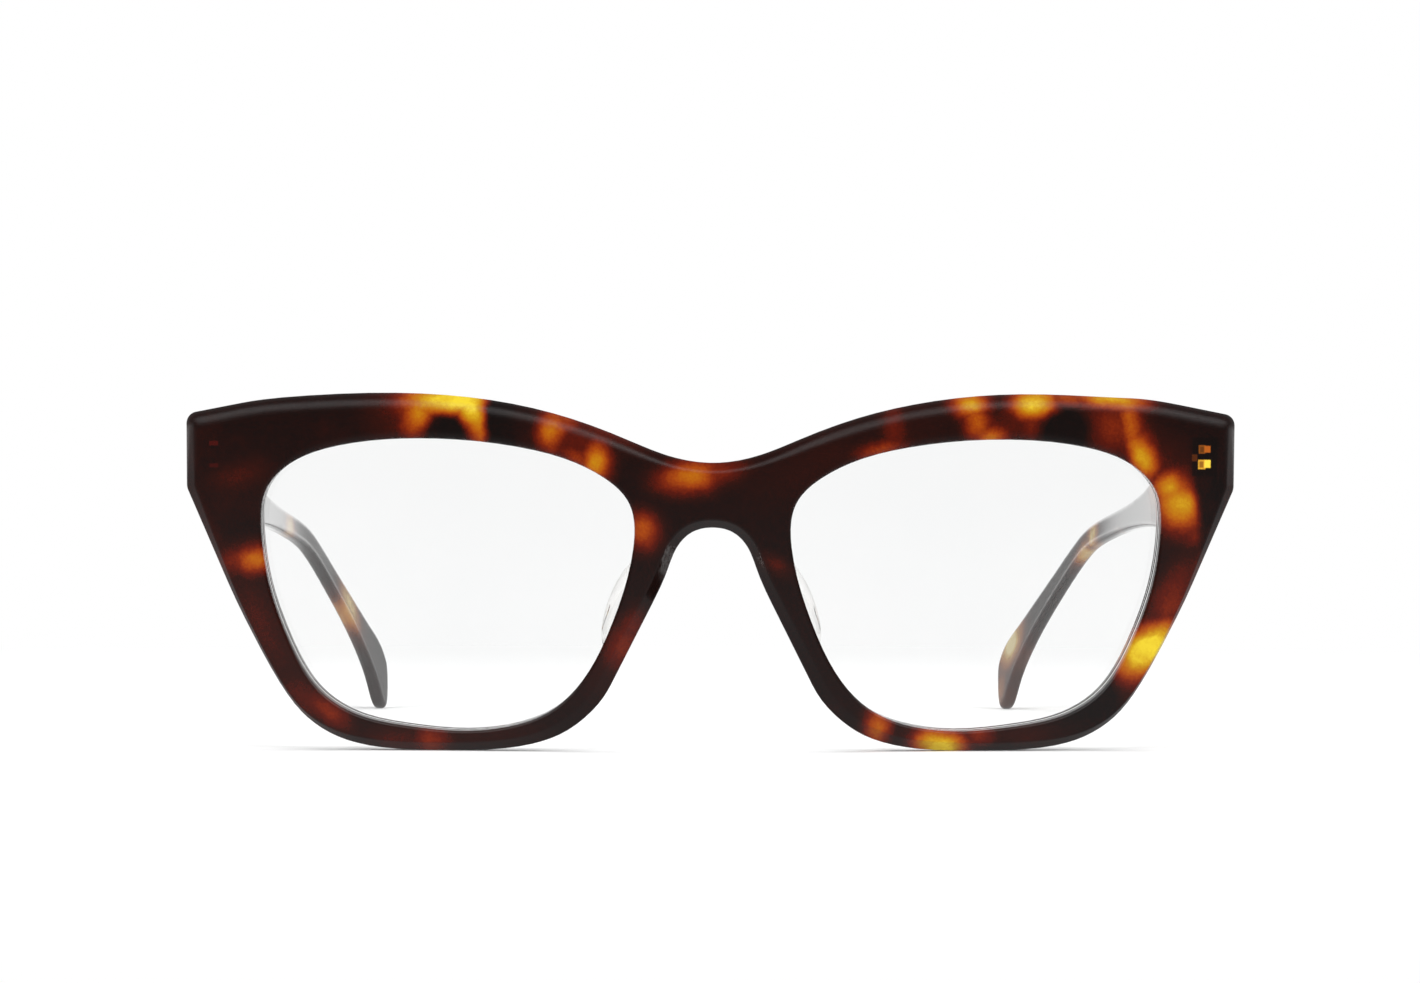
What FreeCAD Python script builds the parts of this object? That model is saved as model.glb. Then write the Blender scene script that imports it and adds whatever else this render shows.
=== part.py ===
import FreeCAD
import Part
import math
import os

# Cat-eye acetate spectacle frame, size 51-20-140, open and standing on its rims and temple tips.
#
# Millimetres.  +X is the wearer's left, +Y runs back along the temples, +Z is up.  The origin is
# the middle of the footprint, on the surface that the frame stands on.
#
# The front's surfaces and lenses are laid out in the front's own plane: x across, z up, y = depth
# behind the bridge's outer face.  They are then leaned forward.  Outlines, hinges and temples are
# laid out level, with y = 0 at the foremost point of the brow.  The left half is mirrored.

V = FreeCAD.Vector

# ---- driving dimensions ---------------------------------------------------------------------
EYE_SIZE = 51.4            # lens width by the boxing system, bevel included
BRIDGE_SIZE = 20.2         # between the two lenses, bevel to bevel
SHEET_THICKNESS = 4.2      # acetate sheet of the front
LEAN_DEG = 6.0             # forward lean of the front as it stands
WRAP_DEG = 6.8             # each lens plane turns back from the bridge by this much
FRONT_Y = 4.10             # depth of the front's foot, so that the brow is foremost
FRONT_LIFT = -0.36         # height of the front's foot, so that the rims stand at z = 0
FRAME_DEPTH = 148.2        # brow to the rearmost point of the temple tips

# Top view of the front's outer face: a flat bridge, then one long arc to each end
BRIDGE_FLAT = 7.0
BRIDGE_CREASE_DEG = 3.0
FACE_RADIUS = 436.0

EDGE_FACET = 1.2           # flat facet round the outer front edge
BACK_ROUND = 0.8           # tumbled edge round the back
EYE_ROUND = 0.3            # broken edges of the eye openings

# Lenses
GROOVE_DEPTH = 0.55        # how far a lens bevel sits in its rim
GROOVE_HALF_WIDTH = 0.60
LENS_CENTRE_Z = 22.6       # in the front's plane
LENS_RADIUS = 350.0        # front surface, a shallow base curve
LENS_THICKNESS = 2.1
LENS_VERTEX_Y = 0.90       # lens vertex behind the rim's outer face
BEVEL_Y = 2.90             # bevel crest behind the rim's outer face
LENS_GAP = 0.03            # play between a lens and its seat
EYE_SPAN = 5               # points in each span of the eye opening

# End blocks, where the hinges are sunk
END_X = 71.1               # half width of the front
BLOCK_INNER_X = 61.9       # a block reaches inward to here
BLOCK_BOTTOM_Z = 26.4      # and down to here
BLOCK_CORNER = 1.5         # radius of its two lengthwise inner corners
BUTT_Y = 15.0              # plane where the temples meet the end blocks
BUTT_GAP = 0.05

# Nose pads: part of an ellipsoid bonded to the back of the rim
PAD_CENTRE = (11.3, 5.8, 19.8)
PAD_RADII = (2.1, 4.6, 7.0)
PAD_SPLAY_DEG = 22.0       # opens towards the face
PAD_FLARE_DEG = 22.0       # follows the side of the nose

# Five-barrel hinges, sunk flush and anchored by feet in the acetate
HINGE_X = 64.35
HINGE_Y = BUTT_Y + 1.40
HINGE_Z = 39.95            # middle of the stack of barrels
BARREL_RADIUS = 1.25
FRONT_BARRELS = (0, 2, 4)  # counted from the bottom
TEMPLE_BARRELS = (1, 3)
BARREL_COUNT = 5
BARREL_PITCH = 1.04
BARREL_GAP = 0.04          # end play between barrels
BORE_RADIUS = 0.70
WEB_HALF_WIDTH = 0.90      # webs of the front half, from its plate to its barrels
WEB_FRONT_Y = HINGE_Y - 0.4     # webs of the temple half, as thin as the butt allows
PLATE_THICKNESS = 0.80
PLATE_HALF_HEIGHT = 2.58
FRONT_PLATE_X = (62.9, 68.9)
TEMPLE_PLATE_Y = (16.0, 24.0)
FOOT_WIDTH = 1.75
FOOT_HEIGHT = 1.15
FOOT_DEPTH = 2.4           # into the acetate, beyond the plate
FRONT_FEET = (67.3, (HINGE_Z - 1.0, HINGE_Z + 1.0))   # x, both heights
TEMPLE_FEET_Y = (18.0, 22.3)
OVERLAP = 0.1              # shapes of one piece run into each other by this much

# Hinge screws, M1.4 with a slotted cheese head
SCREW_RADIUS = 0.66
SCREW_HEAD_RADIUS = 1.10
SCREW_HEAD_HEIGHT = 0.55
SCREW_HEAD_ROUND = 0.2
SCREW_TAIL = 0.25          # shows below the lowest barrel
SLOT_WIDTH, SLOT_DEPTH = 0.30, 0.28

# Temples
TEMPLE_ROUND = 0.8
TWIST_START_Y = 72.0       # from here back the temple twists, foot inward
TWIST_RUN = 53.0
TWIST_RATE = 0.003         # lean gained per millimetre of run
TWIST_HEIGHT = 14.0        # height that the twist leaves where it was
TEMPLE_SPAN = 4            # points in each span of the side outline
WIRE_HALF_WIDTH = 0.85     # flat core wire, seen from the side
WIRE_HALF_THICKNESS = 0.40

LENS_CENTRE_X = (BRIDGE_SIZE + EYE_SIZE) / 2
EYE_RADIUS = EYE_SIZE / 2
REACH = 30.0               # how far blanks and cutters run past what they cut

# ---- outlines -------------------------------------------------------------------------------
# Eye opening about the lens centre, seen along the lens axis: outward, up
EYE = [
    (25.4, 8.2), (24.4, 0.0), (21.7, -7.7), (17.1, -14.9), (12.1, -17.85), (5.5, -19.2),
    (-1.5, -19.75), (-8.9, -18.95), (-14.2, -16.8), (-18.4, -12.7), (-22.5, -4.6), (-25.1, 4.6),
    (-24.5, 11.6), (-20.9, 15.0), (-9.5, 18.85), (4.2, 19.8), (14.8, 18.65), (21.8, 15.8),
    (24.9, 12.0),
]
# Left half of the front's outline as it stands, from the middle of the brow round to the nose arch
BROW = [(0, 38.95), (6, 39.9), (12, 42.25), (20, 45.15), (30, 47.35), (44, 48.3), (55, 47.9)]
BROW_END = (63.5, 46.95)
TOP_CORNER, TOP_CORNER_RADIUS = (END_X, 45.5), 1.6
LOW_CORNER, LOW_CORNER_RADIUS = (END_X, 35.55), 2.2
SIDE_END = (65.5, 22.6)
SOLE = [(61.8, 15.0), (58.7, 9.4), (55.0, 4.6), (50.4, 1.7), (43.0, 0.2), (34.5, 0.0),
        (25.9, 0.6), (20.0, 2.5), (16.4, 5.2)]
NOSE_START, NOSE_END = (13.6, 9.0), (8.0, 20.1)
ARCH = [(6.15, 24.2), (4.7, 27.7), (2.6, 29.7), (0, 30.25)]

# Temple seen from the side: y, z
TEMPLE_TOP = [(15, 47.2), (30, 44.2), (43, 40.2), (55, 36.8), (69, 34.4), (83, 32.8), (97, 31.2),
              (108, 29.0), (118, 24.9), (130, 18.9), (141, 13.3), (146.6, 9.8), (148.2, 7.0),
              (147.0, 3.8)]
TEMPLE_UNDERSIDE = [(15, 29.6), (35, 29.6), (55, 30.1), (69, 29.9), (83, 29.1), (97, 27.6),
                    (106, 25.8), (114, 22.6), (122, 18.2), (130, 13.0), (136, 8.2)]
TEMPLE_TOE = [(144.6, 0.9), (142.7, 0.0), (141.0, 0.9), (139.4, 3.9)]
# Temple seen from above: y, x; both rows start where the straight hinge end stops
HINGE_END_Y = 25.0
TEMPLE_INNER = [(HINGE_END_Y, 65.9), (40, 65.1), (57, 64.2), (75, 63.1), (94, 60.6), (110, 57.6),
                (125, 54.8), (142, 51.9), (152, 50.1)]
TEMPLE_OUTER = [(HINGE_END_Y, 70.9), (40, 69.0), (57, 66.9), (75, 65.5), (94, 62.9),
                (110, 59.8), (125, 56.9), (142, 54.0), (152, 52.2)]
# Core wire seen from the side
WIRE = [(26, 37.0), (43, 34.8), (55, 33.3), (69, 32.1), (83, 30.9), (97, 29.4), (107, 27.2),
        (117, 22.9), (127, 17.4), (137, 11.2)]


# ---- helpers --------------------------------------------------------------------------------
def front_point(point):
    return V(point[0], 0, point[1])


def side_point(point):
    return V(0, point[0], point[1])


def spline(points, start=None, end=None):
    curve = Part.BSplineCurve()
    if start is None:
        curve.interpolate(Points=points)
    else:
        curve.interpolate(Points=points, InitialTangent=start, FinalTangent=end)
    return curve.toShape()


def smooth_spans(points, span, closed=False):
    """One smooth curve through the points, in spans of about `span` points each."""
    curve = Part.BSplineCurve()
    curve.interpolate(Points=points, PeriodicFlag=closed)
    joins = [curve.parameter(point) for point in points[::span]]
    if curve.LastParameter - joins[-1] > 1e-6:
        joins.append(curve.LastParameter)
    return [curve.toShape(low, high) for low, high in zip(joins, joins[1:])]


def rounded_corner(before, at, after, radius):
    """The arc that rounds a corner between two straight runs, with its two ends."""
    back = (before - at).normalize()
    ahead = (after - at).normalize()
    half = back.getAngle(ahead) / 2
    first = at + back * (radius / math.tan(half))
    last = at + ahead * (radius / math.tan(half))
    middle = at + (back + ahead).normalize() * (radius / math.sin(half) - radius)
    return first, Part.Arc(first, middle, last).toShape(), last


def mirrored(shape):
    return shape.mirror(V(0, 0, 0), V(1, 0, 0))


def whole_row(half_row):
    """A row of points from x = 0 outward, with its mirror image in front."""
    return [V(-p.x, p.y, p.z) for p in reversed(half_row[1:])] + half_row


def box(x, y, z):
    """A box from three (low, high) pairs."""
    return Part.makeBox(x[1] - x[0], y[1] - y[0], z[1] - z[0], V(x[0], y[0], z[0]))


def upright_blank(wire):
    """A tall prism over an outline seen from above."""
    blank = Part.Face(wire).extrude(V(0, 0, 4 * REACH))
    blank.translate(V(0, 0, -REACH))
    return blank


def leaned(shape):
    """Moves a shape from the front's plane to where the front stands."""
    moved = shape.copy()
    moved.rotate(V(0, 0, 0), V(1, 0, 0), LEAN_DEG)
    moved.translate(V(0, FRONT_Y, FRONT_LIFT))
    return moved


def on_lens_axis(shape):
    """Moves a shape from a lens's own frame to its place in the front's plane."""
    moved = shape.copy()
    moved.rotate(V(0, 0, 0), V(0, 0, 1), WRAP_DEG)
    moved.translate(lens_centre())
    return moved


# ---- the front's outer face -----------------------------------------------------------------
CREASE = math.radians(BRIDGE_CREASE_DEG)
ARC_CENTRE = V(BRIDGE_FLAT - FACE_RADIUS * math.sin(CREASE), FACE_RADIUS * math.cos(CREASE), 0)


def face_depth(x):
    """Depth of the outer face behind the bridge, beyond the flat."""
    return ARC_CENTRE.y - math.sqrt(FACE_RADIUS ** 2 - (x - ARC_CENTRE.x) ** 2)


def lens_centre():
    """Where the left lens's axis meets the outer face, in the front's plane."""
    return V(LENS_CENTRE_X, face_depth(LENS_CENTRE_X), LENS_CENTRE_Z)


def face_run(offset):
    """Half of the top-view line `offset` behind the outer face, from x = 0 past the end."""
    radius = FACE_RADIUS - offset
    low_x, high_x = BRIDGE_FLAT, END_X + 4
    points = []
    for x in (low_x, (low_x + high_x) / 2, high_x):
        points.append(V(x, ARC_CENTRE.y - math.sqrt(radius ** 2 - (x - ARC_CENTRE.x) ** 2), 0))
    flat = Part.makeLine(V(0, points[0].y, 0), points[0])
    return [flat, Part.Arc(*points).toShape()]


def slab(thickness):
    """Everything between the outer face and a parallel surface `thickness` behind it."""
    outer, inner = face_run(0), face_run(thickness)
    outer_end, inner_end = outer[1].Vertexes[-1].Point, inner[1].Vertexes[-1].Point
    middle_front, middle_back = outer[0].Vertexes[0].Point, inner[0].Vertexes[0].Point
    ends = [Part.makeLine(outer_end, inner_end), Part.makeLine(middle_front, middle_back)]
    left = upright_blank(Part.Wire(Part.__sortEdges__(outer + inner + ends)))
    return left.fuse(mirrored(left)).removeSplitter()


def front_outline():
    brow_end = front_point(BROW_END)
    top = front_point(TOP_CORNER)
    low = front_point(LOW_CORNER)
    side_end = front_point(SIDE_END)
    nose_start = front_point(NOSE_START)
    nose_end = front_point(NOSE_END)
    brow_run = (top - brow_end).normalize()
    side_run = (side_end - low).normalize()
    nose_run = (nose_end - nose_start).normalize()

    brow = whole_row([front_point(p) for p in BROW] + [brow_end])
    brow_edge = spline(brow, V(brow_run.x, 0, -brow_run.z), brow_run)
    arch = whole_row([front_point(p) for p in reversed(ARCH)] + [nose_end])
    arch_edge = spline(arch, V(-nose_run.x, 0, nose_run.z), V(-nose_run.x, 0, -nose_run.z))
    sole = [side_end] + [front_point(p) for p in SOLE] + [nose_start]

    top_first, top_arc, top_last = rounded_corner(brow_end, top, low, TOP_CORNER_RADIUS)
    low_first, low_arc, low_last = rounded_corner(top, low, side_end, LOW_CORNER_RADIUS)
    half = [
        Part.makeLine(brow_end, top_first), top_arc,
        Part.makeLine(top_last, low_first), low_arc,
        Part.makeLine(low_last, side_end), spline(sole, side_run, nose_run),
        Part.makeLine(nose_start, nose_end),
    ]
    edges = [brow_edge, arch_edge] + half + [mirrored(edge) for edge in half]
    return Part.Wire(Part.__sortEdges__(edges))


def eye_wire(depth, grow=0.0):
    """The eye opening's outline in the lens's frame, `grow` wider all round."""
    points = []
    for i, at in enumerate(EYE):
        before, after = EYE[i - 1], EYE[(i + 1) % len(EYE)]
        run = V(after[0] - before[0], 0, after[1] - before[1]).normalize()
        points.append(V(at[0] - grow * run.z, depth, at[1] + grow * run.x))
    return Part.Wire(smooth_spans(points, EYE_SPAN, True))


def ridge(crest, half_width, base):
    """A ring-shaped ridge round the eye opening, with its inside filled."""
    sections = [eye_wire(BEVEL_Y - half_width, base), eye_wire(BEVEL_Y, crest),
                eye_wire(BEVEL_Y + half_width, base)]
    return Part.makeLoft(sections, True, True)


def straight_plug(low_y, high_y, grow):
    """A straight plug with the eye opening's outline."""
    return Part.Face(eye_wire(low_y, grow)).extrude(V(0, high_y - low_y, 0))


# ---- the front ------------------------------------------------------------------------------
def unleaned(point):
    """A point of the standing front, in the front's own plane."""
    turn = FreeCAD.Rotation(V(1, 0, 0), -LEAN_DEG)
    return turn.multVec(point - V(0, FRONT_Y, FRONT_LIFT))


def depth_in_front(point):
    """How far behind the outer face a point of the standing front is, square to that face."""
    own = unleaned(point)
    if abs(own.x) < BRIDGE_FLAT:
        return own.y
    return FACE_RADIUS - V(abs(own.x), own.y, 0).distanceToPoint(ARC_CENTRE)


def off_eye_wall(point):
    """How far a point of the standing front is from the straight wall of its eye opening."""
    own = unleaned(point)
    from_centre = V(abs(own.x), own.y, own.z) - lens_centre()
    in_lens = FreeCAD.Rotation(V(0, 0, 1), -WRAP_DEG).multVec(from_centre)
    return eye_wire(0).distToShape(Part.Vertex(in_lens.x, 0, in_lens.z))[0]


def middle_of(edge):
    return edge.valueAt((edge.FirstParameter + edge.LastParameter) / 2)


def rim_edges(shape, depth):
    """The edges between the side walls and the surface `depth` behind the outer face."""
    found = []
    for edge in shape.Edges:
        ends = [edge.valueAt(edge.FirstParameter), edge.valueAt(edge.LastParameter)]
        at_depth = all(abs(depth_in_front(point) - depth) < 0.02 for point in ends)
        on_crease = abs(abs(middle_of(edge).x) - BRIDGE_FLAT) < 0.01
        if at_depth and not on_crease:
            found.append(edge)
    return found


def eye_edges(shape):
    """The edges where the eye openings break through the front and the back of the rims."""
    found = []
    for edge in shape.Edges:
        middle = middle_of(edge)
        depth = depth_in_front(middle)
        on_surface = min(abs(depth), abs(depth - SHEET_THICKNESS)) < 0.02
        if on_surface and off_eye_wall(middle) < 0.02:
            found.append(edge)
    return found


def acetate_front():
    """The standing front, with facets, eye openings and end blocks cut off at the butts."""
    outline = Part.Face(front_outline()).extrude(V(0, 2 * REACH, 0))
    outline.translate(V(0, -REACH, 0))
    sheet = leaned(slab(SHEET_THICKNESS)).common(outline)
    sheet = sheet.makeChamfer(EDGE_FACET, rim_edges(sheet, 0))
    sheet = sheet.makeFillet(BACK_ROUND, rim_edges(sheet, SHEET_THICKNESS))

    window = box((BLOCK_INNER_X, END_X + REACH), (0, BUTT_Y), (BLOCK_BOTTOM_Z, 2 * REACH))
    behind_facet = slab(2 * BUTT_Y).cut(slab(2 * EDGE_FACET))
    block = leaned(behind_facet).common(outline).common(window)
    inner_edges = []
    for edge in block.Edges:
        middle = edge.BoundBox.Center
        along_depth = edge.BoundBox.YLength > 2 * BLOCK_CORNER
        if along_depth and middle.x < BLOCK_INNER_X + 0.1 and middle.z < BLOCK_BOTTOM_Z + 1:
            inner_edges.append(edge)
    block = block.makeFillet(BLOCK_CORNER, inner_edges)
    body = sheet.fuse([block, mirrored(block)]).removeSplitter()

    cutter = leaned(on_lens_axis(eye_cutter()))
    body = body.cut([cutter, mirrored(cutter)])
    return body.makeFillet(EYE_ROUND, eye_edges(body))


# ---- lenses and pads ------------------------------------------------------------------------
def lens():
    """A shallow meniscus with a bevel that sits in the rim's groove, in the lens's frame."""
    bevel = ridge(GROOVE_DEPTH - 2 * LENS_GAP, GROOVE_HALF_WIDTH - 2 * LENS_GAP, -LENS_GAP)
    edge = straight_plug(0, LENS_VERTEX_Y + 2 * LENS_THICKNESS, -LENS_GAP).fuse(bevel)
    front = Part.makeSphere(LENS_RADIUS, V(0, LENS_VERTEX_Y + LENS_RADIUS, 0))
    back = Part.makeSphere(LENS_RADIUS, V(0, LENS_VERTEX_Y + LENS_THICKNESS + LENS_RADIUS, 0))
    return edge.common(front).cut(back)


def eye_cutter():
    """Everything that is cut out of the rim for a lens, in the lens's frame."""
    through = straight_plug(-SHEET_THICKNESS, 2 * SHEET_THICKNESS, 0)
    return through.fuse(ridge(GROOVE_DEPTH, GROOVE_HALF_WIDTH, 0))


def nose_pad():
    """An ellipsoid that opens towards the face, in the front's plane, less the front itself."""
    scale = FreeCAD.Matrix()
    scale.scale(*PAD_RADII)
    pad = Part.makeSphere(1.0).transformGeometry(scale)
    pad.rotate(V(0, 0, 0), V(0, 0, 1), -PAD_SPLAY_DEG)
    pad.rotate(V(0, 0, 0), V(0, 1, 0), -PAD_FLARE_DEG)
    pad.translate(V(*PAD_CENTRE))
    return pad.cut(slab(SHEET_THICKNESS))


# ---- hinges ---------------------------------------------------------------------------------
def barrel_z(index):
    """Low and high ends of one barrel, counted from the bottom."""
    low = HINGE_Z + (index - BARREL_COUNT / 2) * BARREL_PITCH
    return low + BARREL_GAP / 2, low + BARREL_PITCH - BARREL_GAP / 2


def upright(radius, low_z, high_z):
    """A cylinder on the hinge axis."""
    return Part.makeCylinder(radius, high_z - low_z, V(HINGE_X, HINGE_Y, low_z))


def hinge_bore():
    return upright(BORE_RADIUS, HINGE_Z - REACH, HINGE_Z + REACH)


def hinge_half(indices, web_x, web_y, plate, feet):
    """Barrels and their webs on a sunk plate with feet."""
    pieces = []
    for index in indices:
        low_z, high_z = barrel_z(index)
        pieces.append(upright(BARREL_RADIUS, low_z, high_z))
        pieces.append(box(web_x, web_y, (low_z, high_z)))
    return plate.fuse(pieces + feet).cut(hinge_bore()).removeSplitter()


def front_hinge():
    """Three barrels, a plate sunk in the end block's rear face and two buried feet."""
    plate_y = BUTT_Y - PLATE_THICKNESS
    heights = (HINGE_Z - PLATE_HALF_HEIGHT, HINGE_Z + PLATE_HALF_HEIGHT)
    plate = box(FRONT_PLATE_X, (plate_y, BUTT_Y), heights)
    foot_x, foot_heights = FRONT_FEET
    feet = []
    for z in foot_heights:
        feet.append(box((foot_x - FOOT_WIDTH / 2, foot_x + FOOT_WIDTH / 2),
                        (plate_y - FOOT_DEPTH, plate_y),
                        (z - FOOT_HEIGHT / 2, z + FOOT_HEIGHT / 2)))
    web_x = (HINGE_X - WEB_HALF_WIDTH, HINGE_X + WEB_HALF_WIDTH)
    return hinge_half(FRONT_BARRELS, web_x, (BUTT_Y - OVERLAP, HINGE_Y), plate, feet)


def temple_hinge():
    """Two barrels, a plate sunk in the temple's inner face and two buried feet."""
    inner_x = TEMPLE_INNER[0][1]
    plate_x = inner_x + PLATE_THICKNESS
    heights = (HINGE_Z - PLATE_HALF_HEIGHT, HINGE_Z + PLATE_HALF_HEIGHT)
    plate = box((inner_x, plate_x), TEMPLE_PLATE_Y, heights)
    feet = []
    for y in TEMPLE_FEET_Y:
        feet.append(box((plate_x, plate_x + FOOT_DEPTH),
                        (y - FOOT_HEIGHT / 2, y + FOOT_HEIGHT / 2),
                        (HINGE_Z - FOOT_WIDTH / 2, HINGE_Z + FOOT_WIDTH / 2)))
    web_y = (WEB_FRONT_Y, HINGE_Y + BARREL_RADIUS)
    return hinge_half(TEMPLE_BARRELS, (HINGE_X, inner_x + OVERLAP), web_y, plate, feet)


def hinge_screw():
    top = barrel_z(BARREL_COUNT - 1)[1]
    bottom = barrel_z(0)[0]
    crown = top + SCREW_HEAD_HEIGHT
    head = upright(SCREW_HEAD_RADIUS, top, crown)
    rim = [edge for edge in head.Edges if edge.BoundBox.ZMin > crown - 0.01]
    head = head.makeFillet(SCREW_HEAD_ROUND, rim)
    shank = upright(SCREW_RADIUS, bottom - SCREW_TAIL, top + OVERLAP)
    slot = box((HINGE_X - BARREL_RADIUS, HINGE_X + BARREL_RADIUS),
               (HINGE_Y - SLOT_WIDTH / 2, HINGE_Y + SLOT_WIDTH / 2), (crown - SLOT_DEPTH, crown + 1))
    return head.fuse(shank).cut(slot).removeSplitter()


# ---- temples --------------------------------------------------------------------------------
def side_profile():
    """The temple's outline seen from the side, from the butt round the toe and back."""
    row = TEMPLE_TOP + TEMPLE_TOE + list(reversed(TEMPLE_UNDERSIDE))
    points = [side_point(p) for p in row]
    butt = Part.makeLine(points[0], points[-1])
    return Part.Face(Part.Wire(smooth_spans(points, TEMPLE_SPAN) + [butt]))


def twisted(point, height):
    """A point of the plan, given as y and x, carried to a height along the temple's twist."""
    run = min(max(point[0] - TWIST_START_Y, 0), TWIST_RUN)
    return V(point[1] + TWIST_RATE * run * (height - TWIST_HEIGHT), point[0], height)


def plan_outline(inner, outer, start_y, height):
    """The outline between two rows of points at one height, straight beside the hinge."""
    near = [twisted(p, height) for p in inner]
    far = [twisted(p, height) for p in outer]
    near_start = V(near[0].x, start_y, height)
    far_start = V(far[0].x, start_y, height)
    straight = V(0, 1, 0)
    return Part.Wire([
        Part.makeLine(near_start, near[0]),
        spline(near, straight, (near[-1] - near[-2]).normalize()),
        Part.makeLine(near[-1], far[-1]),
        spline(far, straight, (far[-1] - far[-2]).normalize()).reversed(),
        Part.makeLine(far[0], far_start),
        Part.makeLine(far_start, near_start),
    ])


def plan_strip(inner, outer, start_y):
    """A tall blank between two rows of points seen from above, twisted where the temple is."""
    ends = [plan_outline(inner, outer, start_y, height) for height in (-REACH, 3 * REACH)]
    return Part.makeLoft(ends, True, True)


def end_section():
    """The end block's outline, carried straight back past the whole temple."""
    corners = [front_point(p) for p in (SIDE_END, LOW_CORNER, TOP_CORNER, BROW_END)]
    below = [V(0, 0, -REACH), V(corners[0].x, 0, -REACH)]
    above = [V(0, 0, corners[-1].z + REACH)]
    loop = below + corners + above + below[:1]
    return Part.Face(Part.makePolygon(loop)).extrude(V(0, FRAME_DEPTH + REACH, 0))


def temple():
    """Cut from sheet to the side profile, bent inward, and filed flush with the end block."""
    profile = side_profile().extrude(V(END_X + REACH, 0, 0))
    strip = plan_strip(TEMPLE_INNER, TEMPLE_OUTER, BUTT_Y + BUTT_GAP)
    body = profile.common(strip).common(end_section())
    lengthwise = []
    for edge in body.Edges:
        bounds = edge.BoundBox
        if bounds.YLength > 0.5 and bounds.YMax > BUTT_Y + 1:
            lengthwise.append(edge)
    return body.makeFillet(TEMPLE_ROUND, lengthwise)


def core_wire():
    """A flat stiffening wire shot into the temple, on its middle line."""
    middle = [side_point(p) for p in WIRE]
    upper = []
    lower = []
    for i, at in enumerate(middle):
        before = middle[max(i - 1, 0)]
        after = middle[min(i + 1, len(middle) - 1)]
        run = (after - before).normalize()
        across = V(0, -run.z, run.y) * WIRE_HALF_WIDTH
        upper.append(at + across)
        lower.append(at - across)
    edges = [spline(upper), spline(lower), Part.makeLine(upper[0], lower[0]),
             Part.makeLine(upper[-1], lower[-1])]
    profile = Part.Face(Part.Wire(Part.__sortEdges__(edges))).extrude(V(END_X + REACH, 0, 0))
    inner = []
    outer = []
    for near, far in zip(TEMPLE_INNER, TEMPLE_OUTER):
        middle_x = (near[1] + far[1]) / 2
        inner.append((near[0], middle_x - WIRE_HALF_THICKNESS))
        outer.append((near[0], middle_x + WIRE_HALF_THICKNESS))
    return profile.common(plan_strip(inner, outer, BUTT_Y))


# ---- assembly -------------------------------------------------------------------------------
def left_half():
    """Every piece of the left half but the front, by name, where it stands."""
    hinge_in_temple = temple_hinge()
    wire = core_wire()
    return {
        "lens": leaned(on_lens_axis(lens())),
        "nose_pad": leaned(nose_pad()),
        "front_hinge": front_hinge(),
        "temple_hinge": hinge_in_temple,
        "hinge_screw": hinge_screw(),
        "temple": temple().cut([hinge_in_temple, wire]),
        "core_wire": wire,
    }


def assembly():
    pieces = {}
    for name, shape in left_half().items():
        pieces[name + "_left"] = shape
        pieces[name + "_right"] = mirrored(shape)
    hinges = [pieces["front_hinge_left"], pieces["front_hinge_right"]]
    pieces["front"] = acetate_front().cut(hinges)
    return pieces


def main():
    os.makedirs("parts", exist_ok=True)
    for name, shape in assembly().items():
        shape.translate(V(0, -FRAME_DEPTH / 2, 0))
        shape.exportStep("parts/" + name + ".step")
        bounds = shape.optimalBoundingBox(False)
        print(name, "valid" if shape.isValid() else "INVALID", len(shape.Solids), "solid,",
              round(shape.Volume, 1), "mm3,",
              [round(value, 2) for value in (bounds.XMin, bounds.XMax, bounds.YMin, bounds.YMax,
                                             bounds.ZMin, bounds.ZMax)])
    print("hinge axis", HINGE_X, HINGE_Y - FRAME_DEPTH / 2, HINGE_Z)


if __name__ == "__main__":
    main()
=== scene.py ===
import math

import bpy
from mathutils import Matrix, Vector


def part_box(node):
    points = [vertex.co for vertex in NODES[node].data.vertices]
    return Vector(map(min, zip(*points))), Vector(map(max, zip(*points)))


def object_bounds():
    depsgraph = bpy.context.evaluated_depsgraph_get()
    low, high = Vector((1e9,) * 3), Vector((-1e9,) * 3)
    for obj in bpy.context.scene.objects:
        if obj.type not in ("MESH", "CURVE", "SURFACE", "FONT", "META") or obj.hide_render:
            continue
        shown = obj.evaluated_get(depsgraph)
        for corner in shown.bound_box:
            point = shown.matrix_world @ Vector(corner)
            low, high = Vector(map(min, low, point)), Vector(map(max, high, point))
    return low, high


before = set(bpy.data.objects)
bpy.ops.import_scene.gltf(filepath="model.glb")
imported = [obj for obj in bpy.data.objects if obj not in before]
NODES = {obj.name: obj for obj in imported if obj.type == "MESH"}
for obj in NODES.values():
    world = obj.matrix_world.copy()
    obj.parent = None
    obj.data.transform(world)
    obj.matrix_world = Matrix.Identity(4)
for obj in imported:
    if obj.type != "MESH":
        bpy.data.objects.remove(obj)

# Looks for a cat-eye spectacle frame: polished tortoiseshell acetate, clear lenses and gold-tone
# hinges.  Metres, in the CAD frame: +X is the wearer's left, -Y faces the camera, +Z is up.

MM = 0.001
CAD_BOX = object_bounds()

# ---- tortoiseshell pattern ------------------------------------------------------------------
# How much amber there is, from 0 to 1, and the linear colour that it gives
TORTOISE = [
    (0.00, (0.0034, 0.0018, 0.0016)),
    (0.16, (0.0180, 0.0026, 0.0013)),
    (0.30, (0.0600, 0.0042, 0.0011)),
    (0.42, (0.1350, 0.0120, 0.0013)),
    (0.55, (0.2500, 0.0380, 0.0016)),
    (0.68, (0.3400, 0.0920, 0.0020)),
    (0.78, (0.3800, 0.1600, 0.0028)),
    (0.88, (0.4700, 0.2650, 0.0070)),
    (1.00, (0.6300, 0.4700, 0.0220)),
]
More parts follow.
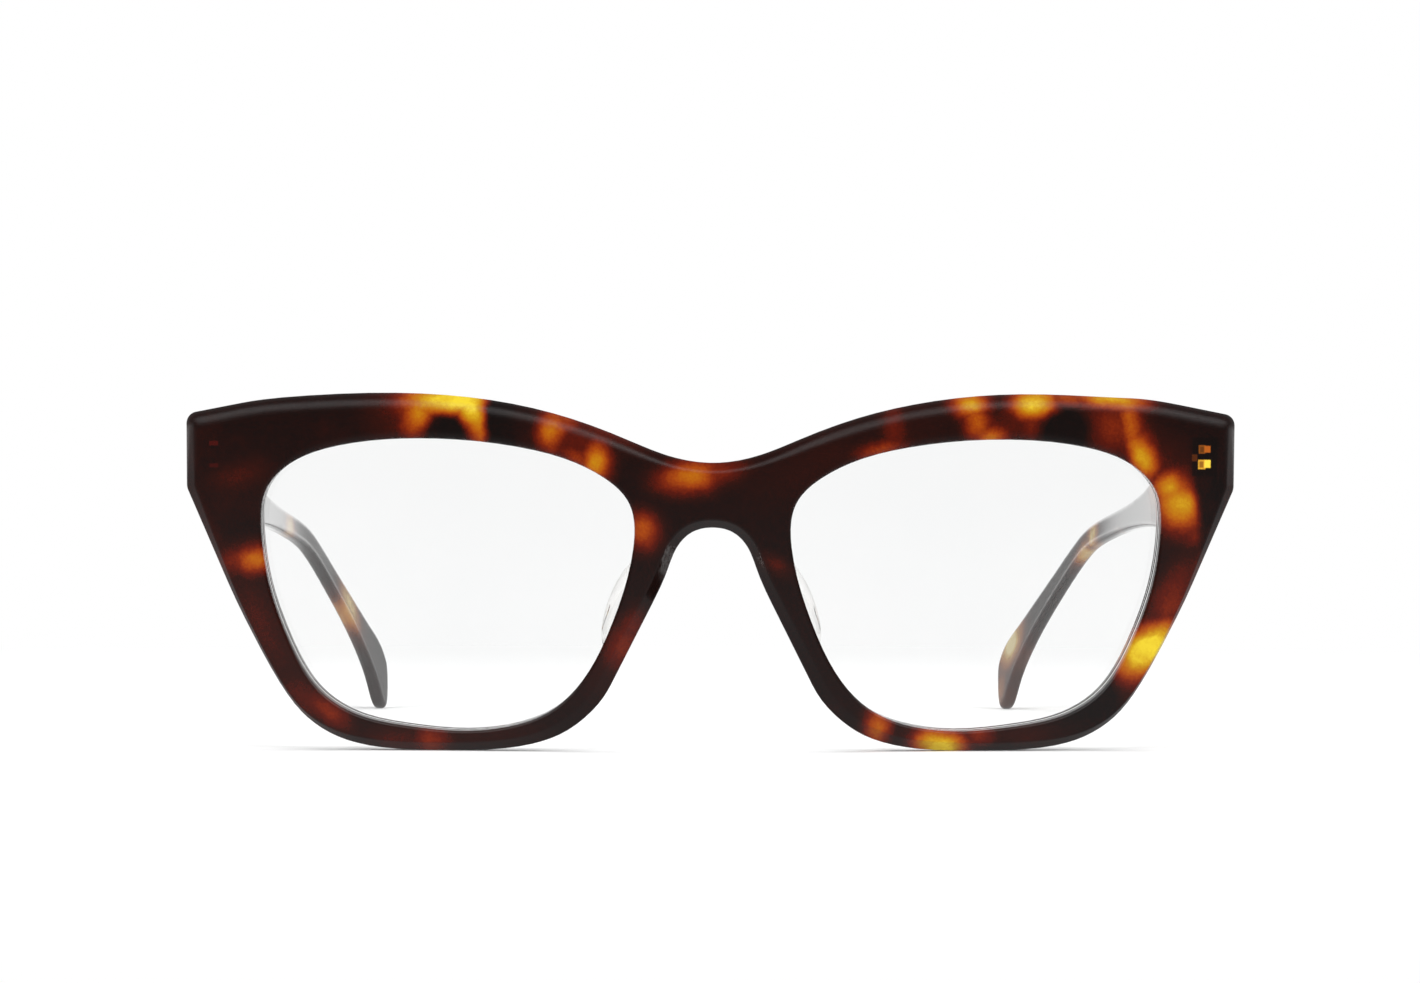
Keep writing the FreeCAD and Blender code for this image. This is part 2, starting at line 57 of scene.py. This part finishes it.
# The temples get a paler, creamier copy of the same colours: painted reflection, standing in for
# the sheen that their inner faces show behind the lenses, on top of their tortoise pattern
SHEEN_PALED_TORTOISE = [
    (0.00, (0.0040, 0.0026, 0.0024)),
    (0.30, (0.0520, 0.0120, 0.0050)),
    (0.42, (0.1200, 0.0320, 0.0080)),
    (0.55, (0.2400, 0.0800, 0.0180)),
    (0.68, (0.3500, 0.1600, 0.0400)),
    (0.78, (0.4400, 0.2500, 0.0750)),
    (0.88, (0.5400, 0.3700, 0.1400)),
    (1.00, (0.7000, 0.5800, 0.3000)),
]

# How fast a patch fades outwards, and how softly it joins the next one
PATCH_FADE = 0.75
PATCH_JOIN = 0.10
# Where each patch boundary wanders: noise scale, detail, roughness and reach
WANDER_BROAD = (90.0, 3.0, 0.5, 3.0 * MM)
WANDER_FINE = (900.0, 3.0, 0.6, 0.5 * MM)
# The faint red that is everywhere in the front's sheet, and the blotches in the temples'
FRONT_CLOUD_TOP = 0.13
TEMPLE_BLOTCH_SHARE = 0.03

# Patches on the front, in millimetres: x, z, half width, half height, tilt in degrees, strength.
# A tilt turns the patch anticlockwise as the camera sees it.
FRONT_PATCHES = [
    # brow over the wearer's right eye: a bright arch and two spots
    (-34.6, 47.3, 6.6, 2.8, 0, 1.12),
    (-32.3, 45.4, 2.8, 5.2, 4, 1.07),
    (-38.8, 45.0, 2.8, 4.2, 0, 0.84),
    (-41.6, 45.2, 5.4, 4.6, 0, 0.27),
    (-21.4, 43.3, 2.2, 3.1, 0, 0.72),
    (-20.0, 44.6, 3.0, 1.8, -20, 0.52),
    (-18.0, 41.4, 5.0, 4.2, -25, 0.32),
    (-15.4, 38.9, 2.2, 3.3, -12, 0.77),
    (-17.8, 39.4, 3.4, 1.5, -24, 0.50),
    (-14.0, 43.6, 7.0, 2.0, -24, 0.32),
    # bridge
    (-3.2, 37.1, 4.0, 2.3, 6, 0.71),
    (0.8, 37.6, 4.4, 2.0, 10, 0.42),
    (-9.2, 30.0, 2.4, 2.6, 0, 0.63),
    (-12.3, 14.3, 2.4, 3.8, -20, 0.45),
    (-10.8, 17.0, 2.2, 3.0, -20, 0.34),
    # rim beside the wearer's right temple
    (-64.0, 37.0, 5.0, 2.4, 18, 0.24),
    (-61.6, 25.8, 2.9, 2.2, 0, 0.72),
    (-63.8, 25.6, 3.6, 2.2, 10, 0.42),
    (-66.0, 25.0, 13.0, 1.9, -66, 0.20),
    (-60.6, 17.0, 9.0, 3.0, -66, 0.25),
    # sole of the right rim
    (-51.8, 5.1, 4.2, 2.0, -36, 0.42),
    (-54.5, 6.6, 5.6, 3.0, -40, 0.29),
    (-37.8, 1.0, 2.8, 3.2, 0, 0.48),
    (-42.0, 1.0, 6.0, 3.2, 0, 0.28),
    # brow over the wearer's left eye
    (24.6, 43.8, 2.0, 5.0, 0, 0.34),
    (22.6, 40.6, 3.8, 1.4, 14, 0.52),
    (34.6, 47.6, 2.9, 2.1, 0, 0.91),
    (35.6, 45.0, 2.1, 3.8, 26, 0.63),
    (37.8, 42.2, 2.6, 2.1, 30, 0.70),
    (43.4, 47.4, 3.3, 2.4, 0, 1.05),
    (43.6, 44.8, 2.4, 3.4, 0, 0.46),
    (40.0, 44.0, 5.0, 4.2, 0, 0.29),
    (48.0, 47.9, 4.4, 1.5, 0, 0.56),
    (54.4, 47.7, 4.8, 1.7, -5, 0.94),
    (54.0, 43.8, 4.6, 4.8, 0, 0.42),
    (56.7, 44.4, 1.9, 5.2, 4, 0.62),
    (58.0, 40.2, 2.1, 3.5, 16, 0.88),
    (60.2, 39.2, 4.0, 4.0, 16, 0.26),
    # rim beside the wearer's left temple
    (63.4, 33.4, 4.4, 3.2, -52, 0.92),
    (62.0, 35.6, 2.8, 2.6, 0, 0.86),
    (65.6, 29.0, 2.0, 1.6, 20, 0.44),
    (62.6, 34.4, 4.4, 5.2, 16, 0.42),
    (65.4, 24.0, 12.0, 1.9, 64, 0.27),
    (62.6, 20.4, 2.8, 6.4, -24, 0.42),
    (59.3, 13.7, 5.2, 2.8, 27, 1.18),
    (57.4, 12.2, 2.4, 3.2, -28, 0.86),
    (59.6, 11.6, 3.8, 4.6, -28, 0.48),
    # sole of the left rim
    (22.6, 3.0, 2.0, 3.3, -12, 0.67),
    (31.2, 0.9, 3.5, 2.4, 0, 1.12),
    (31.8, 1.8, 5.0, 3.0, 0, 0.42),
    (36.6, 2.6, 2.8, 2.6, 0, 0.44),
    (43.0, 1.8, 5.0, 2.1, 0, 0.20),
    (8.4, 25.4, 2.6, 1.4, -36, 0.26),
    # nearly black red, over wide stretches
    (14.0, 39.0, 12.0, 5.0, 24, 0.15),
    (-58.5, 14.0, 5.0, 10.0, 26, 0.17),
    (-30.0, 1.6, 12.0, 3.6, 0, 0.15),
    (-13.5, 9.0, 5.0, 7.0, 28, 0.15),
    (28.0, 44.0, 6.0, 5.0, 0, 0.13),
]
# Dark blobs over the patches, on the same plan
FRONT_BLOBS = [
    (-35.6, 42.8, 3.0, 2.3, 0, 0.95),
    (-28.2, 45.0, 2.0, 4.4, 0, 1.00),
    (47.6, 43.4, 2.8, 2.4, 0, 0.50),
    (67.4, 33.5, 1.6, 5.0, 0, 0.50),
    (51.0, 9.0, 3.0, 3.0, 0, 0.60),
]

# Sunk feet of the front hinges as they show through the sheet, painted onto its outer face: their
# gold glints, their lit and shaded halves and the dark shade around them are painted light and
# shade.  In millimetres from the hinge's outer end and its middle height: across, up, half width,
# half height, colour, strength
LEFT_FEET_GLINTS_AND_SHADE = [
    (-2.05, 0.00, 1.75, 2.60, (0.0030, 0.0016, 0.0014), 0.75),
    (-3.45, -0.15, 0.35, 0.45, (0.0900, 0.0200, 0.0030), 0.60),
    (-2.44, -1.05, 0.50, 0.62, (0.6000, 0.3000, 0.0250), 0.95),
    (-2.50, -1.05, 0.28, 0.42, (0.2400, 0.1000, 0.0100), 1.00),
    (-1.66, -0.96, 0.42, 0.52, (0.8000, 0.5400, 0.0500), 1.00),
    (-2.44, 1.00, 0.44, 0.56, (0.2000, 0.0560, 0.0060), 0.85),
    (-2.46, 0.98, 0.26, 0.38, (0.0900, 0.0260, 0.0040), 0.95),
    (-1.68, 1.02, 0.40, 0.44, (0.3900, 0.0920, 0.0090), 0.85),
]
# On the wearer's right the feet lie in shade: painted as faint dark red marks
RIGHT_FEET_PAINTED_SHADE = [
    (-1.60, 1.55, 0.60, 0.30, (0.0420, 0.0030, 0.0020), 0.80),
    (-1.60, -1.45, 0.60, 0.25, (0.0360, 0.0028, 0.0020), 0.70),
]
# How far a foot's edge blurs, inwards and outwards, in millimetres
FOOT_BLUR_IN, FOOT_BLUR_OUT = 0.08, 0.10
# The feet show only on the outer face: fully beyond the first distance in front of the hinge, and
# not at all within the second one, in millimetres
FEET_FULL, FEET_GONE = 1.6, 1.4

# Patches on each temple, in millimetres: y, z and the rest as above
RIGHT_TEMPLE_PATCHES = [
    (16.0, 29.5, 4.2, 2.6, -15, 0.90),
    (54.0, 17.0, 6.0, 3.2, -30, 1.00),
    (-28.0, 40.0, 9.0, 5.0, 10, 0.74),
]
LEFT_TEMPLE_PATCHES = [
    (27.0, 28.6, 3.6, 2.4, -20, 0.96),
    (33.0, 25.0, 4.6, 2.4, -30, 0.88),
    (67.6, 10.6, 6.0, 3.8, -20, 1.15),
    (70.0, 3.2, 3.6, 3.4, 0, 0.62),
    (-24.0, 37.0, 7.0, 5.0, -20, 0.70),
]

# ---- polish ---------------------------------------------------------------------------------
ACETATE_ROUGHNESS = 0.055
# The drum rolls the front's edges over by the first radius below the first height, and by the
# second one above the second height.  The temples' edges are rolled alike all over.
FRONT_EDGES = (0.45 * MM, 1.5 * MM)
TEMPLE_EDGES = (1.0 * MM, 1.0 * MM)
EDGE_HEIGHTS = (36.0 * MM, 44.0 * MM)

# ---- studio ---------------------------------------------------------------------------------
FLOOR_HALF = 3.0
FLOOR_PAPER_ENDS = (0.12, 0.40)
LIT_MIDDLE = (0.0, -0.05, 0.03)
OVERHEAD_WATTS = 9.0
KEY_WATTS = 6.5
ROOM_DIFFUSE = 0.35
# What the gloss sees: dark walls, with white far behind the object and a soft box over the camera
WALL = 0.10
BEHIND_LIGHT = 0.28
BACKDROP_LIGHT = 0.95
SOFT_BOX_LIGHT = 3.0


# ---- node graphs ----------------------------------------------------------------------------
class Graph:
    """A node tree, with short calls for the nodes that are used here."""

    def __init__(self, tree):
        self.tree = tree
        tree.nodes.clear()

    def node(self, kind, inputs=None, **settings):
        made = self.tree.nodes.new(kind)
        for key, value in settings.items():
            setattr(made, key, value)
        for key, value in (inputs or {}).items():
            self.feed(made.inputs[key], value)
        return made

    def feed(self, socket, value):
        if isinstance(value, bpy.types.NodeSocket):
            self.tree.links.new(value, socket)
        else:
            socket.default_value = value

    def math(self, operation, *values, clamp=False):
        made = self.node("ShaderNodeMath", operation=operation, use_clamp=clamp)
        for socket, value in zip(made.inputs, values):
            self.feed(socket, value)
        return made.outputs[0]

    def vector(self, operation, *values):
        made = self.node("ShaderNodeVectorMath", operation=operation)
        for socket, value in zip(made.inputs, values):
            self.feed(socket, value)
        return made.outputs[0]

    def noise(self, place, scale, detail=2.0, roughness=0.5):
        made = self.node("ShaderNodeTexNoise", {"Vector": place, "Scale": scale, "Detail": detail,
                                                "Roughness": roughness})
        return made.outputs

    def scaled(self, vector, factor):
        made = self.node("ShaderNodeVectorMath", {0: vector, "Scale": factor}, operation="SCALE")
        return made.outputs[0]

    def ramp(self, amount, stops):
        made = self.node("ShaderNodeValToRGB", {"Fac": amount})
        ramp = made.color_ramp
        while len(ramp.elements) < len(stops):
            ramp.elements.new(0.5)
        for element, (at, colour) in zip(ramp.elements, stops):
            element.position = at
            element.color = (*colour, 1.0)
        return made.outputs["Color"]

    def between(self, value, low, high, to_low=0.0, to_high=1.0):
        """Goes smoothly from to_low to to_high as the value goes from low to high."""
        made = self.node("ShaderNodeMapRange", {"Value": value, "From Min": low, "From Max": high,
                                                "To Min": to_low, "To Max": to_high},
                         interpolation_type="SMOOTHSTEP")
        return made.outputs["Result"]

    def mix(self, share, without, full):
        made = self.node("ShaderNodeMix", {0: share, 2: without, 3: full}, data_type="FLOAT")
        return made.outputs[0]


def material(name):
    made = bpy.data.materials.new(name)
    made.use_nodes = True
    return made, Graph(made.node_tree)


def finish_material(graph, shader):
    graph.node("ShaderNodeOutputMaterial", {"Surface": shader})


# ---- tortoiseshell --------------------------------------------------------------------------
def patch_group():
    """How far inside one soft-edged oval patch a place is: 1 in its middle, 0 outside."""
    tree = bpy.data.node_groups.new("patch", "ShaderNodeTree")
    for name in ("Across", "Up", "Middle Across", "Middle Up", "Half Width", "Half Height", "Tilt",
                 "Strength", "Before"):
        tree.interface.new_socket(name, in_out="INPUT", socket_type="NodeSocketFloat")
    tree.interface.new_socket("After", in_out="OUTPUT", socket_type="NodeSocketFloat")
    graph = Graph(tree)
    given = graph.node("NodeGroupInput").outputs
    across = graph.math("SUBTRACT", given["Across"], given["Middle Across"])
    up = graph.math("SUBTRACT", given["Up"], given["Middle Up"])
    cosine = graph.math("COSINE", given["Tilt"])
    sine = graph.math("SINE", given["Tilt"])
    along = graph.math("ADD", graph.math("MULTIPLY", across, cosine),
                       graph.math("MULTIPLY", up, sine))
    square = graph.math("SUBTRACT", graph.math("MULTIPLY", up, cosine),
                        graph.math("MULTIPLY", across, sine))
    wide = graph.math("DIVIDE", along, given["Half Width"])
    tall = graph.math("DIVIDE", square, given["Half Height"])
    distance = graph.math("ADD", graph.math("MULTIPLY", wide, wide),
                          graph.math("MULTIPLY", tall, tall))
    inside = graph.math("POWER", math.exp(-PATCH_FADE), distance)
    level = graph.math("MULTIPLY", inside, given["Strength"])
    out = graph.math("SMOOTH_MAX", given["Before"], level, PATCH_JOIN)
    graph.node("NodeGroupOutput", {"After": out})
    return tree


PATCH = patch_group()


def patches(graph, across, up, listed):
    """The strongest of the listed patches at each place."""
    level = 0.0
    for middle_across, middle_up, half_width, half_height, tilt, strength in listed:
        made = graph.node("ShaderNodeGroup", node_tree=PATCH)
        values = (across, up, middle_across * MM, middle_up * MM, half_width * MM,
                  half_height * MM, math.radians(tilt), strength, level)
        for socket, value in zip(made.inputs, values):
            graph.feed(socket, value)
        level = made.outputs["After"]
    return level


def wandering(graph, place):
    """The place, shifted about so that the patches get uneven, grainy edges."""
    middle = (0.5, 0.5, 0.5)
    shifts = []
    for scale, detail, roughness, reach in (WANDER_BROAD, WANDER_FINE):
        noise = graph.noise(place, scale, detail, roughness)["Color"]
        shifts.append(graph.scaled(graph.vector("SUBTRACT", noise, middle), reach))
    return graph.vector("ADD", place, graph.vector("ADD", *shifts))


def mottle(graph, place, share):
    """Blotches all through the sheet, for where no patch is listed.  More share, more amber."""
    stretched = graph.vector("MULTIPLY", place, (1.0, 0.6, 1.0))
    cloud = graph.noise(stretched, 75.0, 2.5, 0.55)["Fac"]
    return graph.between(cloud, 0.66 - share, 0.92 - share, 0.0, 0.9)


def acetate(name, levels, shades, edges, painted_glints_and_shade=None, coat=0.0):
    """Polished tortoiseshell.  levels(graph, place) gives how much amber there is."""
    made, graph = material(name)
    place = graph.node("ShaderNodeTexCoord").outputs["Object"]
    level = levels(graph, place)
    speckle = graph.noise(place, 2600.0, 2.0, 0.7)["Fac"]
    level = graph.math("ADD", level, graph.between(speckle, 0.3, 0.7, -0.025, 0.025), clamp=True)
    cloud = graph.noise(place, 220.0, 3.0, 0.55)["Fac"]
    level = graph.math("MULTIPLY", level, graph.between(cloud, 0.25, 0.75, 0.90, 1.06), clamp=True)
    colour = graph.ramp(level, shades)
    # Where given, paints on the glints and shade of the hinge feet seen through the sheet
    if painted_glints_and_shade:
        colour = painted_glints_and_shade(graph, place, colour)

    haze = graph.noise(place, 60.0, 3.0, 0.6)["Fac"]
    scratch = graph.noise(graph.vector("MULTIPLY", place, (1.0, 1.0, 9.0)), 700.0, 3.0, 0.7)["Fac"]
    polish = graph.math("ADD", graph.between(haze, 0.3, 0.7, ACETATE_ROUGHNESS * 0.7,
                                             ACETATE_ROUGHNESS * 1.3),
                        graph.between(scratch, 0.62, 0.8, 0.0, 0.03))
    waves = graph.noise(place, 55.0, 1.0, 0.4)["Fac"]
    grain = graph.noise(place, 1500.0, 2.0, 0.5)["Fac"]
    height = graph.math("ADD", graph.math("MULTIPLY", waves, 0.9),
                        graph.math("MULTIPLY", grain, 0.012))
    upwards = graph.node("ShaderNodeSeparateXYZ", {"Vector": place}).outputs["Z"]
    rolled = graph.node("ShaderNodeBevel", {
        "Radius": graph.between(upwards, *EDGE_HEIGHTS, *edges)}, samples=6)
    bump = graph.node("ShaderNodeBump", {"Height": height, "Strength": 0.25,
                                         "Distance": 0.05 * MM,
                                         "Normal": rolled.outputs["Normal"]})
    shader = graph.node("ShaderNodeBsdfPrincipled", {
        "Base Color": colour, "Roughness": polish, "IOR": 1.45,
        "Coat Weight": coat, "Coat Roughness": 0.03, "Coat IOR": 1.5,
        "Normal": bump.outputs["Normal"],
    })
    finish_material(graph, shader.outputs["BSDF"])
    return made


def front_levels(graph, place):
    shifted = graph.node("ShaderNodeSeparateXYZ", {"Vector": wandering(graph, place)}).outputs
    amber = patches(graph, shifted["X"], shifted["Z"], FRONT_PATCHES)
    dark = patches(graph, shifted["X"], shifted["Z"], FRONT_BLOBS)
    level = graph.math("SUBTRACT", amber, dark, clamp=True)
    cloud = graph.noise(place, 70.0, 3.0, 0.6)["Fac"]
    faint = graph.between(cloud, 0.42, 0.78, 0.0, FRONT_CLOUD_TOP)
    return graph.math("MAXIMUM", level, faint)


def paint_feet_glints_and_shade(graph, place, colour):
    """Paints the sunk hinge feet as they show through the sheet, with their gold glints, shaded
    halves and the dark shade around them, on the end blocks' outer face.
    """
    low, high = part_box("front_hinge_left")
    middle_z = (low.z + high.z) / 2
    parts = graph.node("ShaderNodeSeparateXYZ", {"Vector": place}).outputs
    outer_face = graph.between(parts["Y"], low.y - FEET_FULL * MM, low.y - FEET_GONE * MM,
                               1.0, 0.0)

    def within(coordinate, middle, half):
        away = graph.math("ABSOLUTE", graph.math("SUBTRACT", coordinate, middle))
        return graph.between(away, (half - FOOT_BLUR_IN) * MM, (half + FOOT_BLUR_OUT) * MM,
                             1.0, 0.0)

    for side, listed in ((1, LEFT_FEET_GLINTS_AND_SHADE), (-1, RIGHT_FEET_PAINTED_SHADE)):
        for across, up, half_width, half_height, shade, strength in listed:
            inside_x = within(parts["X"], side * (high.x + across * MM), half_width)
            inside_z = within(parts["Z"], middle_z + up * MM, half_height)
            share = graph.math("MULTIPLY", graph.math("MULTIPLY", inside_x, inside_z), outer_face)
            share = graph.math("MULTIPLY", share, strength)
            mixed = graph.node("ShaderNodeMix", {0: share, 6: colour, 7: (*shade, 1.0)},
                               data_type="RGBA")
            colour = mixed.outputs[2]
    return colour


def temple_levels(listed):
    def levels(graph, place):
        shifted = wandering(graph, place)
        parts = graph.node("ShaderNodeSeparateXYZ", {"Vector": shifted}).outputs
        amber = patches(graph, parts["Y"], parts["Z"], listed)
        return graph.math("MAXIMUM", amber, mottle(graph, shifted, TEMPLE_BLOTCH_SHARE))
    return levels


# ---- lenses and nose pads -------------------------------------------------------------------
def clear(name, dark, light, ior, polish_range):
    """Clear polished plastic.  Lamps reach through it, so that it doesn't darken the floor."""
    made, graph = material(name)
    place = graph.node("ShaderNodeTexCoord").outputs["Object"]
    film = graph.noise(place, 45.0, 3.0, 0.6)["Fac"]
    smear = graph.noise(graph.vector("MULTIPLY", place, (1.0, 1.0, 0.3)), 160.0, 2.0)["Fac"]
    tint = graph.ramp(film, [(0.3, dark), (0.7, light)])
    dust = graph.noise(place, 900.0, 2.0)["Fac"]
    bump = graph.node("ShaderNodeBump", {"Height": dust, "Strength": 0.02,
                                         "Distance": 0.01 * MM})
    body = graph.node("ShaderNodeBsdfPrincipled", {
        "Base Color": tint, "Roughness": graph.between(smear, 0.45, 0.8, *polish_range),
        "IOR": ior, "Transmission Weight": 1.0, "Normal": bump.outputs["Normal"],
    })
    lit = graph.node("ShaderNodeBsdfTransparent", {"Color": (0.97, 0.97, 0.97, 1.0)})
    path = graph.node("ShaderNodeLightPath")
    mixed = graph.node("ShaderNodeMixShader", {0: path.outputs["Is Shadow Ray"],
                                               1: body.outputs["BSDF"],
                                               2: lit.outputs["BSDF"]})
    finish_material(graph, mixed.outputs["Shader"])
    return made


# ---- metals ---------------------------------------------------------------------------------
def metal(name, light, dark, roughness, brushed):
    """Turned or stamped metal, brushed along one axis, with a little tarnish."""
    made, graph = material(name)
    place = graph.node("ShaderNodeTexCoord").outputs["Object"]
    stroke = graph.noise(graph.vector("MULTIPLY", place, brushed), 2200.0, 3.0, 0.6)["Fac"]
    tarnish = graph.noise(place, 500.0, 3.0, 0.6)["Fac"]
    colour = graph.ramp(tarnish, [(0.35, dark), (0.6, light)])
    polish = graph.math("ADD", graph.between(stroke, 0.3, 0.7, roughness * 0.7, roughness * 1.3),
                        graph.between(tarnish, 0.55, 0.35, 0.0, 0.10))
    bump = graph.node("ShaderNodeBump", {"Height": stroke, "Strength": 0.3,
                                         "Distance": 0.02 * MM})
    shader = graph.node("ShaderNodeBsdfPrincipled", {
        "Base Color": colour, "Metallic": 1.0, "Roughness": polish,
        "Normal": bump.outputs["Normal"],
    })
    finish_material(graph, shader.outputs["BSDF"])
    return made


# ---- dressing the CAD nodes -----------------------------------------------------------------
def dress(name, look):
    NODES[name].material_slots[0].material = look


def dress_all():
    # The front's colour carries the painted glints and shade of the hinge feet
    dress("front", acetate("front_tortoise", front_levels, TORTOISE, FRONT_EDGES,
                           painted_glints_and_shade=paint_feet_glints_and_shade))
    # The temples take the paler colours, whose paleness is painted reflection
    for side, listed in (("left", LEFT_TEMPLE_PATCHES), ("right", RIGHT_TEMPLE_PATCHES)):
        dress("temple_" + side, acetate(side + "_temple_tortoise", temple_levels(listed),
                                        SHEEN_PALED_TORTOISE, TEMPLE_EDGES, coat=1.0))
    pad = clear("pad_clear", (0.93, 0.92, 0.90), (0.96, 0.95, 0.94), 1.48, (0.02, 0.06))
    glass = clear("lens_clear", (0.955, 0.962, 0.962), (0.975, 0.978, 0.976), 1.50,
                  (0.001, 0.012))
    gold = metal("hinge_gold", (0.86, 0.63, 0.27), (0.62, 0.40, 0.15), 0.20, (1.0, 1.0, 0.08))
    steel = metal("screw_steel", (0.74, 0.73, 0.70), (0.50, 0.49, 0.47), 0.24, (1.0, 0.1, 1.0))
    wire = metal("wire_nickel", (0.72, 0.71, 0.69), (0.52, 0.51, 0.49), 0.30, (1.0, 0.05, 1.0))
    for side in ("left", "right"):
        dress("nose_pad_" + side, pad)
        dress("lens_" + side, glass)
        dress("front_hinge_" + side, gold)
        dress("temple_hinge_" + side, gold)
        dress("hinge_screw_" + side, steel)
        dress("core_wire_" + side, wire)


# ---- floor, lamps, backdrop and camera ------------------------------------------------------
def studio_floor():
    """Paper near the object, going over to plain white, with its own shade for the gloss."""
    mesh = bpy.data.meshes.new("floor")
    corners = [(x * FLOOR_HALF, y * FLOOR_HALF, 0.0)
               for x, y in ((-1, -1), (1, -1), (1, 1), (-1, 1))]
    mesh.from_pydata(corners, [], [(0, 1, 2, 3)])
    made = bpy.data.objects.new("floor", mesh)
    bpy.context.scene.collection.objects.link(made)
    look, graph = material("floor_white")
    place = graph.node("ShaderNodeTexCoord").outputs["Object"]
    cloud = graph.noise(place, 6.0, 2.0)["Fac"]
    colour = graph.ramp(cloud, [(0.3, (0.93, 0.93, 0.93)), (0.7, (0.95, 0.95, 0.95))])
    away = graph.node("ShaderNodeVectorMath", {0: place}, operation="LENGTH").outputs["Value"]
    grain = graph.node("ShaderNodeBump", {"Height": graph.noise(place, 1200.0, 2.0)["Fac"],
                                          "Strength": 0.1, "Distance": 0.05 * MM})
    paper = graph.node("ShaderNodeBsdfPrincipled", {
        "Base Color": colour, "Roughness": 0.7, "Specular IOR Level": 0.1,
        "Normal": grain.outputs["Normal"]})
    far = graph.node("ShaderNodeMixShader", {
        0: graph.between(away, *FLOOR_PAPER_ENDS), 1: paper.outputs["BSDF"],
        2: graph.node("ShaderNodeEmission", {"Color": (1.0, 1.0, 1.0, 1.0)}).outputs["Emission"]})
    depth = graph.node("ShaderNodeSeparateXYZ", {"Vector": place}).outputs["Y"]
    mirrored = graph.node("ShaderNodeEmission", {
        "Color": (1.0, 1.0, 1.0, 1.0),
        "Strength": graph.math("MAXIMUM", graph.between(depth, -0.30, -0.08, WALL, 0.36),
                               graph.between(depth, -0.05, 0.3, WALL, 1.0))})
    path = graph.node("ShaderNodeLightPath").outputs
    reflected = graph.math("SUBTRACT", path["Is Glossy Ray"], path["Is Transmission Ray"],
                           clamp=True)
    shader = graph.node("ShaderNodeMixShader", {0: reflected,
                                                1: far.outputs["Shader"],
                                                2: mirrored.outputs["Emission"]})
    finish_material(graph, shader.outputs["Shader"])
    mesh.materials.append(look)


def lamp(name, at, size, watts):
    """A rectangular lamp that lights the object, but isn't seen in it."""
    data = bpy.data.lights.new(name, "AREA")
    data.shape = "RECTANGLE"
    data.size, data.size_y = size
    data.energy = watts
    made = bpy.data.objects.new(name, data)
    bpy.context.scene.collection.objects.link(made)
    made.location = at
    made.rotation_euler = (Vector(LIT_MIDDLE) - Vector(at)).to_track_quat("-Z", "Y").to_euler()
    made.visible_glossy = False
    made.visible_camera = False
    made.visible_transmission = False


def studio_lamps():
    lamp("overhead", (0.0, 0.05, 1.1), (1.4, 0.9), OVERHEAD_WATTS)
    lamp("key_left", (-0.75, -0.9, 0.55), (0.5, 0.5), KEY_WATTS)
    lamp("key_right", (0.75, -0.9, 0.55), (0.5, 0.5), KEY_WATTS)


def studio_world():
    """White behind all that is seen directly.  Gloss sees a studio, dark towards the camera."""
    world = bpy.data.worlds.new("studio")
    bpy.context.scene.world = world
    world.use_nodes = True
    graph = Graph(world.node_tree)
    parts = graph.node("ShaderNodeSeparateXYZ", {
        "Vector": graph.node("ShaderNodeTexCoord").outputs["Generated"]}).outputs
    behind = graph.math("MAXIMUM", graph.between(parts["Y"], -0.2, 0.6, WALL, BEHIND_LIGHT),
                        graph.between(parts["Y"], 0.90, 0.985, 0.0, BACKDROP_LIGHT))
    # The soft box is a band of directions, above level and on the camera's side
    box_low = graph.between(parts["Z"], 0.22, 0.42)
    box_high = graph.between(parts["Z"], 0.62, 0.85, 1.0, 0.0)
    box_near = graph.between(parts["Y"], -0.55, -0.20, SOFT_BOX_LIGHT, 0.0)
    box = graph.math("MULTIPLY", box_near, graph.math("MULTIPLY", box_low, box_high))
    room = graph.math("MAXIMUM", behind, box)
    path = graph.node("ShaderNodeLightPath").outputs
    direct = graph.math("MAXIMUM", path["Is Camera Ray"], path["Is Transmission Ray"])
    room = graph.mix(path["Is Diffuse Ray"], room, ROOM_DIFFUSE)
    strength = graph.mix(direct, room, 1.0)
    light = graph.node("ShaderNodeBackground", {"Color": (1.0, 1.0, 1.0, 1.0),
                                                "Strength": strength})
    graph.node("ShaderNodeOutputWorld", {"Surface": light.outputs["Background"]})


def camera():
    """Level with the middle of the rims, a little to the wearer's right, far off."""
    lens_mm, distance, height = 127.8, 0.679, 0.0351
    yaw, roll = math.radians(1.2), math.radians(0.12)
    aim = Vector((-0.31 * MM, CAD_BOX[0].y + 4.1 * MM, height))
    data = bpy.data.cameras.new("camera")
    data.sensor_width = 36.0
    data.lens = lens_mm
    made = bpy.data.objects.new("camera", data)
    bpy.context.scene.collection.objects.link(made)
    turn = Matrix.Rotation(-yaw, 4, "Z") @ Matrix.Rotation(math.pi / 2, 4, "X")
    made.matrix_world = (Matrix.Translation(aim - distance * Vector((math.sin(yaw),
                                                                    math.cos(yaw), 0.0)))
                         @ turn @ Matrix.Rotation(roll, 4, "Z"))
    bpy.context.scene.camera = made


camera()
dress_all()
studio_floor()
studio_lamps()
studio_world()
bpy.context.scene.view_settings.view_transform = "Standard"
